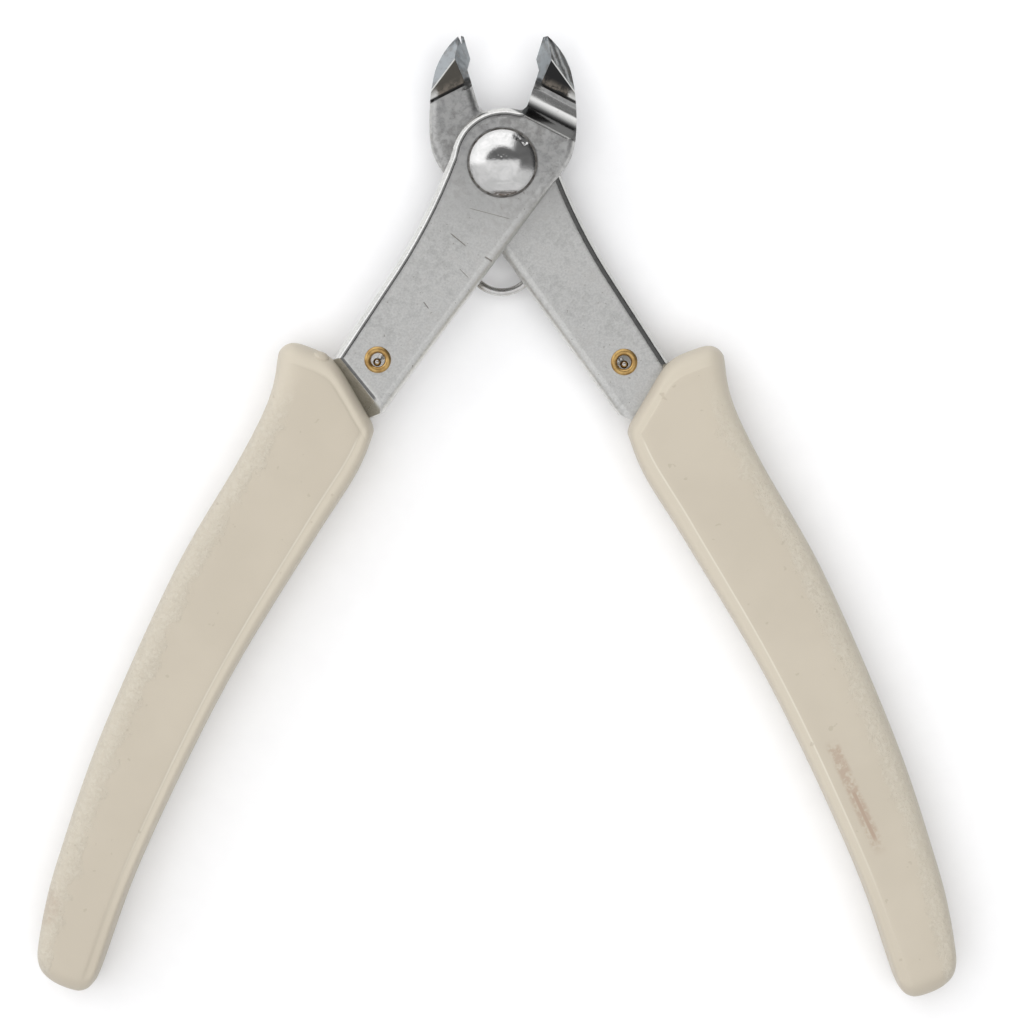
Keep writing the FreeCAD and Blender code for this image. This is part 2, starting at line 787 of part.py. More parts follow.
class Spring:
    """The return spring at rest: where its coil and its two legs run, from the sheet's sizes."""

    def __init__(self, sheet):
        size = {alias: float(sheet.get(alias)) for alias in SIZES}
        self.wire = size["wire_radius"]
        self.hook_round = size["hook_round"]
        self.coil = size["coil_radius"]
        self.pitch = size["coil_pitch"]
        self.centre = FreeCAD.Vector(0, -size["coil_drop"], 0)
        out = size["eyelet_out"]
        drop = size["eyelet_drop"]
        self.left_hook = turned(-out, -drop, -size["open_half"])
        self.right_hook = turned(out, -drop, size["open_half"])
        self.right_hook.x -= size["hook_offset"]
        self.slope = self.pitch / (2 * math.pi * self.coil)
        self.start = self.leg_angle(self.left_hook, 1)
        self.finish = self.leg_angle(self.right_hook, -1)
        self.turn = 360 + (self.start - self.finish) % 360
        self.start_z = -size["plate_thick"] - size["coil_clear"] - self.wire
        self.left_tip = size["plate_thick"] + size["lap_gap"] - size["hook_sink"]
        self.right_tip = -size["hook_sink"]
        self.finish_z = self.start_z - self.pitch * self.turn / 360

    def leg_angle(self, hook, way):
        """Angle on the coil at which the leg to this hook leaves it, above the leg."""
        run = hook - self.centre
        lean = math.degrees(math.acos(self.coil / run.Length))
        return math.degrees(math.atan2(run.y, run.x)) - way * lean

    def on_coil(self, angle, z):
        place = self.centre + turned(self.coil, 0, angle)
        place.z = z
        return place

    def leg(self, hook, angle, z, rising, tip):
        """A leg from the coil to its hook, bent up through the eyelet, with a domed end."""
        start = self.on_coil(angle, z)
        length = math.hypot(hook.x - start.x, hook.y - start.y)
        corner = FreeCAD.Vector(hook.x, hook.y, z + rising * self.slope * length)
        end = FreeCAD.Vector(hook.x, hook.y, tip - self.wire)
        edges = rounded(start, corner, end, self.hook_round)
        dome = Part.makeSphere(self.wire, end)
        return round_wire(edges, self.wire).fuse(dome)

    def make_coil(self):
        """The coil, clockwise and away from the plates, from the left leg to the right one."""
        height = self.pitch * self.turn / 360
        helix = Part.makeHelix(self.pitch, height, self.coil)
        helix.rotate(FreeCAD.Vector(), FreeCAD.Vector(1, 0, 0), 180)
        helix.rotate(FreeCAD.Vector(), FreeCAD.Vector(0, 0, 1), self.start)
        helix.translate(self.centre + FreeCAD.Vector(0, 0, self.start_z))
        return round_wire(helix.Edges, self.wire)


def add_feature(name, shape):
    obj = doc.addObject("Part::Feature", name)
    obj.Label = name
    obj.Shape = shape
    return obj


def place(obj, turn=None):
    """Turns a half about the pivot, and puts the pivot at its place in the part's frame."""
    rotation = FreeCAD.Rotation(FreeCAD.Vector(0, 0, 1), 1.0)
    obj.Placement = FreeCAD.Placement(FreeCAD.Vector(), rotation if turn else FreeCAD.Rotation())
    if turn:
        obj.setExpression("Placement.Rotation.Angle", f"{turn.text} * 1deg")
    for letter in "xyz":
        obj.setExpression(f"Placement.Base.{letter}", f"Sizes.pivot_{letter}")


def settle(sheet, parts):
    """Moves the pivot so that the resting tool stands on z = 0, centred in x and y."""
    whole = Part.makeCompound([part.Shape for part in parts])
    box = whole.optimalBoundingBox(False, False)
    sheet.set("pivot_x", repr(-(box.XMin + box.XMax) / 2))
    sheet.set("pivot_y", repr(-(box.YMin + box.YMax) / 2))
    sheet.set("pivot_z", repr(-box.ZMin))
    doc.recompute()


def check(parts):
    for obj in doc.Objects:
        if "Invalid" in obj.State or "Error" in obj.State:
            raise RuntimeError(f"{obj.Name} failed: {obj.State}")
    for part in parts:
        if part.Shape.isNull() or not part.Shape.isValid() or len(part.Shape.Solids) != 1:
            raise RuntimeError(f"{part.Label} is not one valid solid")


def build():
    sheet = make_sheet()
    top = s.plate_thick + s.lap_gap
    spring = Spring(sheet)
    right_leg = spring.leg(spring.right_hook, spring.finish, spring.finish_z, -1, spring.right_tip)
    left_leg = spring.leg(spring.left_hook, spring.start, spring.start_z, 1, spring.left_tip)
    front = [
        make_front_plate(),
        make_left_grip(),
        make_eyelet("left_eyelet", 1, s.lap_gap, top),
        make_rivet(),
        make_washer(),
    ]
    rear = [
        make_rear_plate(),
        make_grip("right_grip", -1),
        make_eyelet("right_eyelet", -1, -s.plate_thick, 0.0),
    ]
    springs = [
        add_feature("return_spring", left_leg.fuse(spring.make_coil())),
        add_feature("return_spring_leg", right_leg),
    ]
    doc.recompute()
    for part in front:
        place(part, -s.open_half)
    for part in rear:
        place(part, s.open_half)
    for part in springs:
        place(part)
    doc.recompute()
    parts = front + rear + springs
    settle(sheet, parts)
    check(parts)
    os.makedirs("parts", exist_ok=True)
    for part in parts:
        part.Shape.exportStep(os.path.join("parts", part.Label + ".step"))
    print("pivot", sheet.get("pivot_x"), sheet.get("pivot_y"), sheet.get("pivot_z"))
    print("coil centre", spring.centre, "left hook", spring.left_hook, "turns", spring.turn / 360)


build()
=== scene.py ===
import json
import math

import bpy
from mathutils import Matrix, Vector


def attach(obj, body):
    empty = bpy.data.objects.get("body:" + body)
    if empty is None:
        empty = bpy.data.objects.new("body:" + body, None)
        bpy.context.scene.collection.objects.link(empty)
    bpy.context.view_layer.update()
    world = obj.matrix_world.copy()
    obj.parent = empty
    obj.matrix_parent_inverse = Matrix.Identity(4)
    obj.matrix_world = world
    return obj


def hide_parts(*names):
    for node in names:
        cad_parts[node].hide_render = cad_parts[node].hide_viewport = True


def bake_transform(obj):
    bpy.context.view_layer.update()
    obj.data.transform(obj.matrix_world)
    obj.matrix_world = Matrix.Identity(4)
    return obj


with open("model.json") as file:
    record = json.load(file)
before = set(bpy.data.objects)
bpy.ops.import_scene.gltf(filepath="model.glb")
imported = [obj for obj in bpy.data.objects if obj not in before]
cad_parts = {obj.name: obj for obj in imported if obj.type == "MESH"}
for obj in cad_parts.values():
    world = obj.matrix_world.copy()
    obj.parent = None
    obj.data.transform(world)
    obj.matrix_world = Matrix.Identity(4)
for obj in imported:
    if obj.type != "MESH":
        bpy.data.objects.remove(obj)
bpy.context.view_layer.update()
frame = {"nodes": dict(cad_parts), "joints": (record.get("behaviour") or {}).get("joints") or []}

# sizes below are in millimetres in each half's own closed frame: the pivot at the origin, the jaws
# towards +Y and z = 0 on the face where the two plates lap
mm = 0.001
joints = {joint["name"]: joint for joint in frame["joints"]}
pivot = Vector(joints["pivot"]["pos_m"])
openHalf = math.radians(joints["pivot"]["range_deg"][1]) / 2
coilCentre = (Vector(joints["spring_coil"]["pos_m"]) - pivot) / mm
leftHook = (Vector(joints["spring_hook"]["pos_m"]) - pivot) / mm
plateThick = 2.5


def halfMatrix(side):
    # front half (side 1) has turned clockwise to its rest place, the rear half the other way
    return Matrix.Translation(pivot) @ Matrix.Rotation(-side * openHalf, 4, "Z") @ Matrix.Scale(mm, 4)


# ---- operator helpers

def deselect():
    if bpy.context.object and bpy.context.object.mode != "OBJECT":
        bpy.ops.object.mode_set(mode="OBJECT")
    bpy.ops.object.select_all(action="DESELECT")


def pick(piece):
    deselect()
    piece.select_set(True)
    bpy.context.view_layer.objects.active = piece


def added(name):
    piece = bpy.context.object
    piece.name = name
    piece.data.name = name
    return piece


def applyAll(piece):
    pick(piece)
    for each in list(piece.modifiers):
        bpy.ops.object.modifier_apply(modifier=each.name)


def modifier(piece, kind, **settings):
    made = piece.modifiers.new(kind.lower(), kind)
    for key, value in settings.items():
        setattr(made, key, value)


def settle(piece, matrix):
    pick(piece)
    piece.matrix_world = matrix @ piece.matrix_world
    bpy.ops.object.transform_apply(location=True, rotation=True, scale=True)


def joined(first, *others):
    deselect()
    for piece in others:
        piece.select_set(True)
    first.select_set(True)
    bpy.context.view_layer.objects.active = first
    bpy.ops.object.join()
    return first


def outward(piece, weld=0.0):
    # turns all faces outwards, after welding the points that lie closer than weld
    pick(piece)
    bpy.ops.object.mode_set(mode="EDIT")
    bpy.ops.mesh.select_all(action="SELECT")
    if weld:
        bpy.ops.mesh.remove_doubles(threshold=weld)
    bpy.ops.mesh.normals_make_consistent(inside=False)
    bpy.ops.object.mode_set(mode="OBJECT")


def smoothed(piece, degrees=35):
    pick(piece)
    bpy.ops.object.shade_smooth_by_angle(angle=math.radians(degrees))


# ---- shader helpers

class Value:
    def __init__(self, shader, socket):
        self.shader = shader
        self.socket = socket

    def math(self, operation, *inputs):
        return self.shader.node("Math", {"operation": operation}, dict(enumerate(inputs)))

    def __add__(self, other):
        return self.math("ADD", self, other)

    def __sub__(self, other):
        return self.math("SUBTRACT", self, other)

    def __rsub__(self, other):
        return self.math("SUBTRACT", other, self)

    def __mul__(self, other):
        return self.math("MULTIPLY", self, other)

    __radd__ = __add__
    __rmul__ = __mul__

    def abs(self):
        return self.math("ABSOLUTE", self)

    def power(self, exponent):
        return self.math("POWER", self, exponent)

    def most(self, other):
        return self.math("MAXIMUM", self, other)

    def ramp(self, low, high):
        # 0 below low, 1 above high, smooth between them; falls instead when low is above high
        made = self.shader.node("MapRange", {"interpolation_type": "SMOOTHSTEP"},
                                {"Value": self, "From Min": min(low, high), "From Max": max(low, high)})
        return made if low < high else 1 - made


class Shader:
    def __init__(self, tree):
        self.tree = tree
        tree.nodes.clear()

    def node(self, kind, settings=None, inputs=None, output=0):
        made = self.tree.nodes.new("ShaderNode" + kind)
        for key, value in (settings or {}).items():
            setattr(made, key, value)
        for key, value in (inputs or {}).items():
            if isinstance(value, Value):
                self.tree.links.new(value.socket, made.inputs[key])
            else:
                made.inputs[key].default_value = value
        return Value(self, made.outputs[output]) if made.outputs else None

    def mix(self, factor, first, second):
        return self.node("Mix", {"data_type": "RGBA"}, {0: factor, 6: first, 7: second}, output=2)

    def noise(self, place, scale, detail=3.0, roughness=0.5, distortion=0.0):
        return self.node("TexNoise", None, {"Vector": place, "Scale": scale, "Detail": detail,
                                            "Roughness": roughness, "Distortion": distortion})

    def bump(self, height, strength, distance):
        return self.node("Bump", None, {"Height": height, "Strength": strength, "Distance": distance})

    def closed(self, side):
        # object coordinates turned back into the half's closed frame, in millimetres
        turn = Matrix.Rotation(side * openHalf, 3, "Z")
        shift = -(turn @ pivot) / mm
        place = self.node("TexCoord", output="Object")
        return self.node("Mapping", {"vector_type": "POINT"},
                         {"Vector": place, "Location": shift, "Rotation": (0, 0, side * openHalf),
                          "Scale": (1 / mm, 1 / mm, 1 / mm)})

    def turned(self, place, angle):
        return self.node("Mapping", {"vector_type": "POINT"}, {"Vector": place, "Rotation": (0, 0, -angle)})

    def axes(self, place):
        return [self.node("SeparateXYZ", None, {0: place}, output=axis) for axis in range(3)]


def newMaterial(name):
    material = bpy.data.materials.new(name)
    material.use_nodes = True
    return material, Shader(material.node_tree)


def finishWith(shader, **inputs):
    words = {key.replace("_", " "): value for key, value in inputs.items()}
    surface = shader.node("BsdfPrincipled", None, words)
    shader.node("OutputMaterial", None, {"Surface": surface})


def wear(material, *nodes):
    for name in nodes:
        piece = frame["nodes"][name]
        piece.data.materials.clear()
        piece.data.materials.append(material)


# ---- plates

plateLook = {
    "pale": (0.80, 0.80, 0.775, 1),
    "dull": (0.53, 0.53, 0.51, 1),
    "headShade": (0.34, 0.34, 0.335, 1),         # painted shade darkening the steel round the pivot
    "stain": (0.20, 0.175, 0.145, 1),
    "blue": (0.34, 0.37, 0.39, 1),          # the freshly ground bevels
    "scale": (0.085, 0.078, 0.066, 1),      # painted shade on the rear jaw's sloping face, very dark brown
    "black": (0.018, 0.018, 0.018, 1),
    # noises: how many to the millimetre, detail, roughness and distortion
    "cloud": (0.16, 4, 0.6),
    "mottle": (1.1, 5, 0.62, 0.3),
    "speckle": (3.6, 4, 0.7),
    "grain": (9.0, 3, 0.6),
    "specks": (2.0, 3, 0.5),
    "spread": (0.36, 0.64),                 # the part of a noise's range that carries the tones
    "roughness": 0.33,
    "polish": 0.27,                         # taken off the roughness on the polished rim
    "bumpStrength": 0.35,
    "bumpHeight": 0.00004,
    # the rim, by how far its normal turns up: its start, the wall below it and its inner line of painted
    # shade
    "rimUp": (0.995, 0.96),
    "wallUp": (0.05, 0.2),
    "lineUp": ((0.985, 0.965), (0.86, 0.89)),
    # share of painted shade over the whole rim behind
    "rimShadeBehind": 0.3,
    "rimEnd": {1: (9.5, 8.5), -1: (-1.0, -3.0)},
    "innerClear": (-1.4, -2.0),             # the polish stops short of the inner edge
    "headShadeSpan": (-13, 3),                     # painted shade on the head, deepening from the neck to the pivot
    "groove": 11.0,
    "grooveTilt": math.radians(10),
    "grooveDepth": 0.3,
    "faceSlope": 0.513,                     # rise of the sloping face from the groove to the apex
    "apex": Vector((1.9, 14.0, 1.3)),
    "outerTurn": math.radians(40),
    "outerSlope": math.tan(math.radians(42)),
    "onFacet": (0.07, 0.04),                # how far off a facet's plane a point still counts
    "crest": (0.2, 0.1),
    "baseWidth": (1.3, 0.2),                # the stained foot of the sloping face
    "patch": (5.6, 6.2),
    "pitAt": 1.2,
    "scoop": (6.3, 8.3, 10.4),              # its low edge, the middle and its far edge
    "scoopTop": (2.5, 2.3),
    "burnt": (15.3, 16.4),
    # the straight inner edge from the root of the jaw to the grip
    "innerStart": Vector((8.05, 3.4)),
    "innerRun": Vector((-12.65, -37.1)).normalized(),
}


def scratch(x, y, start, end, width):
    # mask of a straight scratch between two points
    run = Vector(end) - Vector(start)
    length = run.length
    across = ((x - start[0]) * (-run.y / length) + (y - start[1]) * (run.x / length)).abs()
    down = (x - start[0]) * (run.x / length) + (y - start[1]) * (run.y / length)
    inside = down.ramp(0, length * 0.1) * down.ramp(length, length * 0.8)
    return across.ramp(width, width * 0.4) * inside


def plateRim(shader, x, y, side):
    # masks of the rim, which is polished on the outer side of the neck and round the front half's
    # head, and of the painted shade on it: on the inner line in front, and all over behind
    look = plateLook
    upward = shader.node("SeparateXYZ", None, {0: shader.node("NewGeometry", output="Normal")}, output=2)
    run, start = look["innerRun"], look["innerStart"]
    fromInner = (x * side - start.x) * -run.y + (y - start.y) * run.x
    rim = upward.ramp(*look["rimUp"]) * upward.ramp(*look["wallUp"])
    rim = rim * fromInner.ramp(*look["innerClear"]) * y.ramp(*look["rimEnd"][side])
    first, last = look["lineUp"]
    inside = upward.ramp(*first) * upward.ramp(*last) if side > 0 else look["rimShadeBehind"]
    return rim, rim * inside


def paintJaw(shader, place, side, mottle, colour):
    # the ground jaw: a sloping face beyond the groove, and the two bevels that meet at the apex
    look = plateLook
    x, y, z = shader.axes(place)
    groove, tilt = look["groove"], look["grooveTilt"]
    beyond = y * math.cos(tilt) + x * (side * math.sin(tilt))
    offFace = ((beyond - groove) * look["faceSlope"] - look["grooveDepth"] - z).abs()
    face = offFace.ramp(*look["onFacet"]) * beyond.ramp(groove, groove + 0.05)
    turn, apex = look["outerTurn"], look["apex"]
    acrossApex = apex.x * math.cos(turn) + apex.y * math.sin(turn)
    fall = x * (side * math.cos(turn)) + y * math.sin(turn) - acrossApex
    offOuter = (fall * -look["outerSlope"] + apex.z - z).abs()
    outer = offOuter.ramp(*look["onFacet"])
    ground = beyond.ramp(groove + 0.1, groove + 0.2) * (1 - face)
    streaks = shader.node("TexWave", {"wave_type": "BANDS", "bands_direction": "X"},
                          {"Vector": shader.turned(place, turn), "Scale": 0.45, "Distortion": 5.0,
                           "Detail": 5.0, "Detail Scale": 0.9, "Detail Roughness": 0.75})
    colour = shader.mix(ground * 0.8, colour, look["blue"])
    colour = shader.mix(ground * mottle.ramp(0.48, 0.7) * 0.45, colour, look["stain"])
    if side > 0:
        colour = shader.mix(outer * ground * streaks.ramp(0.55, 0.9) * 0.7, colour, look["pale"])
        colour = shader.mix(outer * ground * streaks.ramp(0.45, 0.1) * 0.55, colour, look["stain"])
    wide, narrow = look["baseWidth"]
    base = beyond.ramp(groove + wide, groove + narrow)
    # painted shade: the sloping face is near black in front and very dark brown behind, stained at its foot
    faceShade = look["black"] if side > 0 else look["scale"]
    colour = shader.mix(face, colour, shader.mix(base * mottle.ramp(0.35, 0.6), faceShade, look["stain"]))
    patch = face * base * (x * side + mottle * 1.5).ramp(*look["patch"])
    colour = shader.mix(patch * 0.8, colour, look["pale"])
    crest = offOuter.ramp(*look["crest"]) * face
    colour = shader.mix(crest * 0.85, colour, look["pale"])
    # painted shade in the groove, and a pit where it meets the hollow, painted dark
    wall = (beyond - groove + 0.1).abs().ramp(0.3, 0.12) * z.ramp(0.0, -0.03)
    pit = ((x * side - look["pitAt"]).power(2) + (beyond - groove).power(2)).ramp(0.5, 0.1)
    colour = shader.mix((wall * 0.85).most(pit * 0.8), colour, look["black"])
    return colour, beyond, face, ground, streaks * ground


def plateSteel(name, side, scratches):
    look = plateLook
    material, shader = newMaterial(name)
    place = shader.closed(side)
    x, y, z = shader.axes(place)
    cloud = shader.noise(place, *look["cloud"])
    mottle = shader.noise(place, *look["mottle"])
    speckle = shader.noise(place, *look["speckle"])
    grain = shader.noise(place, *look["grain"])
    low, high = look["spread"]
    tone = cloud.ramp(low, high) * 0.3 + mottle.ramp(low, high) * 0.35 + speckle.ramp(low, high) * 0.35
    colour = shader.mix(tone, look["dull"], look["pale"])
    rim, grimeAndShade = plateRim(shader, x, y, side)
    # painted shade over the head, mottled and kept off the rim
    head = y.ramp(*look["headShadeSpan"]) * (1 - rim)
    headShade = 0.35 + mottle.ramp(low, 0.62) * 0.45 + speckle.ramp(0.4, 0.62) * 0.2
    colour = shader.mix(head * headShade, colour, look["headShade"])
    specks = shader.noise(place, *look["specks"]).ramp(0.68, 0.73)
    smudge = (mottle * cloud).ramp(0.24, 0.36)
    colour = shader.mix(specks * 0.55, colour, look["stain"])
    colour = shader.mix(smudge * 0.16, colour, look["stain"])
    # painted shade: a dark line inside the front rim, and a darker rim behind
    colour = shader.mix(grimeAndShade * 0.75, colour, look["black"])
    colour, beyond, face, ground, streaks = paintJaw(shader, place, side, mottle, colour)
    if side > 0:
        # the scoop is polished, with a painted highlight over it and painted shade on its steep upper side
        near, middle, far = look["scoop"]
        polishAndHighlight = beyond.ramp(near, near + 0.2) * z.ramp(*look["scoopTop"]) * beyond.ramp(far, far - 0.4)
        steepShade = polishAndHighlight * beyond.ramp(middle + 0.4, middle - 0.4)
        colour = shader.mix(polishAndHighlight * 0.8, colour, look["pale"])
        colour = shader.mix(steepShade * 0.85, colour, look["black"])
        rim = rim.most(polishAndHighlight * (1 - steepShade) * 0.7)
    tip = y.ramp(*look["burnt"]) * mottle.ramp(0.35, 0.55)
    colour = shader.mix(tip * 0.75, colour, look["black"])

    height = grain * 0.35 + speckle * 0.6 + mottle * 0.6 - specks * 0.8 + streaks * 0.7
    if scratches:
        marks = 0
        for start, end, width in scratches:
            marks = marks + scratch(x, y, start, end, width)
        colour = shader.mix(marks * 0.75, colour, look["stain"])
        height = height - marks * 2.0
    normal = shader.bump(height * (1 - rim * 0.8), look["bumpStrength"], look["bumpHeight"])
    roughness = look["roughness"] + mottle * 0.12 - ground * 0.05 + face * 0.12 - rim * look["polish"]
    finishWith(shader, Base_Color=colour, Metallic=1.0 - face * 0.35, Roughness=roughness, Normal=normal)
    return material


def dressPlates():
    # places on the tool at rest: start, end and width of each mark
    turn = Matrix.Rotation(openHalf, 2)
    marks = [((-6.4, -8.7), (-4.3, -10.4), 0.09), ((-2.1, -11.6), (-1.1, -12.2), 0.12),
             ((-4.2, -5.6), (1.6, -7.1), 0.05), ((-9.6, -17.2), (-8.9, -18.1), 0.08),
             ((-5.2, -13.1), (-4.0, -14.3), 0.05)]
    scratches = [(tuple(turn @ Vector(a)), tuple(turn @ Vector(b)), width) for a, b, width in marks]
    wear(plateSteel("frontPlateSteel", 1, scratches), "front_plate")
    wear(plateSteel("rearPlateSteel", -1, []), "rear_plate")
    print("plates dressed")


# ---- rivet and washer

rivet = {
    "seat": 2.4,            # height of the head's underside above the lap face
    "rim": 0.27,
    "radius": 4.05,
    "height": 1.5,
    "tailSeat": -2.53,
    "tailRim": 0.45,
    "tailRadius": 3.9,
    "tailHeight": 0.8,
    "shank": 2.45,
    "shankBevel": 0.05,
    "shankSides": 64,
    "segments": 160,
    "rings": 200,
    # small dents at the crown: place and radius
    "dimples": ((-0.5, 0.7, 0.15), (-0.15, 0.5, 0.13), (0.15, 0.75, 0.14), (0.5, 0.6, 0.13),
                (0.35, 0.95, 0.1), (-0.35, 1.0, 0.09)),
    "dimpleDepth": 0.022,
    # nicks left by the staking punch: place, half length along the rim, half width, depth
    "nicks": ((2.0, 2.9, 0.7, 0.2, 0.07), (2.75, 2.45, 0.3, 0.28, 0.16), (1.0, 3.1, 1.0, 0.12, 0.035),
              (0.15, -3.85, 1.35, 0.25, 0.2), (0.1, -2.5, 1.8, 0.12, 0.03), (-2.4, -2.2, 0.8, 0.1, 0.03)),
}


def makeCap(name, radius, rim, height):
    # a low dome on a short rim, with its underside at z = 0
    ball = (radius ** 2 + height ** 2) / (2 * height)
    deselect()
    bpy.ops.mesh.primitive_uv_sphere_add(segments=rivet["segments"], ring_count=rivet["rings"], radius=ball)
    cap = added(name)
    bpy.ops.object.mode_set(mode="EDIT")
    bpy.ops.mesh.select_all(action="SELECT")
    bpy.ops.mesh.bisect(plane_co=(0, 0, ball - height), plane_no=(0, 0, 1), clear_inner=True)
    bpy.ops.mesh.extrude_edges_move(TRANSFORM_OT_translate={"value": (0, 0, -rim)})
    bpy.ops.mesh.edge_face_add()
    bpy.ops.mesh.select_all(action="SELECT")
    bpy.ops.transform.translate(value=(0, 0, height + rim - ball))
    bpy.ops.object.mode_set(mode="OBJECT")
    return cap


def strike(head):
    # dents the crown and nicks the rim
    size = rivet
    for vertex in head.data.vertices:
        place = vertex.co
        if place.z < size["rim"] - 0.01:
            continue
        for x, y, radius in size["dimples"]:
            near = math.hypot(place.x - x, place.y - y) / radius
            place.z -= size["dimpleDepth"] * math.exp(-near * near)
        for x, y, long, wide, deep in size["nicks"]:
            reach = math.hypot(x, y)
            out = ((place.x * x + place.y * y) / reach - reach) / wide
            beside = (place.y * x - place.x * y) / reach / long
            ragged = 1 + 0.4 * math.sin(beside * 11 + x * 3) * math.sin(beside * 5)
            place.z -= deep * ragged * math.exp(-out * out - beside ** 4)


def makeRivet():
    size = rivet
    head = makeCap("pivotRivet", size["radius"], size["rim"], size["height"])
    strike(head)
    settle(head, Matrix.Translation((0, 0, size["seat"])))
    tail = makeCap("rivetTail", size["tailRadius"], size["tailRim"], size["tailHeight"])
    settle(tail, Matrix.Translation((0, 0, size["tailSeat"])) @ Matrix.Rotation(math.pi, 4, "X"))
    length = size["seat"] - size["tailSeat"]
    deselect()
    bpy.ops.mesh.primitive_cylinder_add(vertices=size["shankSides"], radius=size["shank"], depth=length,
                                        location=(0, 0, size["tailSeat"] + length / 2))
    shank = bpy.context.object
    bpy.ops.object.mode_set(mode="EDIT")
    bpy.ops.mesh.select_all(action="SELECT")
    bpy.ops.mesh.bevel(offset=size["shankBevel"], segments=2)
    bpy.ops.object.mode_set(mode="OBJECT")
    whole = joined(head, tail, shank)
    turnBack = Matrix.Rotation(openHalf, 4, "Z")
    settle(whole, halfMatrix(1) @ turnBack)
    outward(whole)
    smoothed(whole, 45)
    whole.data.materials.append(rivetSteel())
    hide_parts("pivot_rivet")
    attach(whole, "front_half")
    print("rivet made,", len(whole.data.polygons), "faces")


rivetLook = {
    "grey": (0.60, 0.60, 0.585, 1),
    "bright": (0.72, 0.715, 0.70, 1),
    "grimeAndShade": (0.12, 0.09, 0.07, 1),
    "edge": (3.75, 4.1),            # grime gathers outside this radius
    "punched": (-3.3, -3.7),        # and below the staking mark
    "roughness": 0.08,
}


def rivetSteel():
    look = rivetLook
    material, shader = newMaterial("rivetSteel")
    place = shader.closed(1)
    x, y, z = shader.axes(place)
    smear = shader.noise(place, 0.7, 5, 0.6, 0.6)
    fine = shader.noise(place, 7.0, 4, 0.6)
    radius = (x * x + y * y).power(0.5)
    punched = (y * math.cos(openHalf) - x * math.sin(openHalf)).ramp(*look["punched"])
    edge = radius.ramp(*look["edge"])
    grimeAndShade = edge * smear.ramp(0.5, 0.62) + punched * smear.ramp(0.4, 0.55) * radius.ramp(3.3, 3.8)
    colour = shader.mix(smear.ramp(0.3, 0.7), look["grey"], look["bright"])
    colour = shader.mix(grimeAndShade * 0.6, colour, look["grimeAndShade"])
    normal = shader.bump(fine * 0.4 + smear * 0.8, 0.35, 0.00006)
    roughness = look["roughness"] + fine * 0.08
    finishWith(shader, Base_Color=colour, Metallic=1.0, Roughness=roughness, Normal=normal)
    return material


washerLook = {
    "dark": (0.10, 0.09, 0.08, 1),
    "light": (0.30, 0.29, 0.27, 1),
    "roughness": 0.35,
}


def dressWasher():
    look = washerLook
    material, shader = newMaterial("washerSteel")
    place = shader.closed(1)
    stain = shader.noise(place, 1.2, 4, 0.6)
    colour = shader.mix(stain.ramp(0.3, 0.7), look["dark"], look["light"])
    finishWith(shader, Base_Color=colour, Metallic=1.0, Roughness=look["roughness"] + stain * 0.2)
    wear(material, "tension_washer")
    print("washer dressed")


# ---- eyelets

brassLook = {
    "bright": (0.66, 0.44, 0.17, 1),
    "tarnish": (0.42, 0.25, 0.09, 1),
    "roughness": 0.22,
}


def eyeletBrass(name, side):
    look = brassLook
    material, shader = newMaterial(name)
    place = shader.closed(side)
    tarnish = shader.noise(place, 1.3, 4, 0.6)
    fine = shader.noise(place, 12.0, 3, 0.6)
    colour = shader.mix(tarnish.ramp(0.35, 0.7), look["bright"], look["tarnish"])
    normal = shader.bump(fine, 0.2, 0.00002)
    roughness = look["roughness"] + tarnish * 0.2
    finishWith(shader, Base_Color=colour, Metallic=1.0, Roughness=roughness, Normal=normal)
    return material


def dressEyelets():
    wear(eyeletBrass("leftEyeletBrass", 1), "left_eyelet")
    wear(eyeletBrass("rightEyeletBrass", -1), "right_eyelet")
    print("eyelets dressed")


# ---- return spring

spring = {
    "wire": 0.5,            # radius of the wire
    "coil": 4.2,            # radius of the coil's centre line
    "pitch": 1.25,
    "clear": 0.25,          # from the rear plate to the coil
    "bend": 1.2,
    "hookSink": 0.25,       # the hooks' ends lie this far below the plates' front faces
    "hookOffset": 0.146,
    "lean": 0.28,           # the spread legs press the hooks against the eyelets' lower walls
    "lapGap": 0.05,
    "split": 0.9,           # the right leg's share that belongs to the coil's piece
    "sides": 20,
    "stepsPerTurn": 72,
    "grey": (0.66, 0.655, 0.64, 1),
    "stain": (0.50, 0.48, 0.45, 1),
    "roughness": 0.16,
}


def tangentAngle(hook, way):
    run = Vector((hook.x, hook.y)) - Vector((coilCentre.x, coilCentre.y))
    return math.atan2(run.y, run.x) - way * math.acos(spring["coil"] / run.length)


def roundedBend(start, corner, end, radius, steps=10):
    back = (start - corner).normalized()
    out = (end - corner).normalized()
    half = (math.pi - back.angle(out)) / 2
    reach = radius * math.tan(half)
    centre = corner + (back + out).normalized() * (radius / math.cos(half))
    first = corner + back * reach - centre
    last = corner + out * reach - centre
    turn = first.rotation_difference(last)
    points = []
    for step in range(steps + 1):
        part = turn.copy()
        part.angle = turn.angle * step / steps
        points.append(centre + part @ first)
    return points


def wireAlong(name, points):
    # a wire of round section that follows the points
    deselect()
    bpy.ops.curve.primitive_bezier_curve_add()
    wire = added(name)
    curve = wire.data
    curve.splines.clear()
    spline = curve.splines.new("POLY")
    spline.points.add(len(points) - 1)
    for point, place in zip(spline.points, points):
        point.co = (*place, 1)
    curve.dimensions = "3D"
    curve.bevel_depth = spring["wire"]
    curve.bevel_resolution = spring["sides"] // 4
    curve.use_fill_caps = True
    bpy.ops.object.convert(target="MESH")
    return bpy.context.object


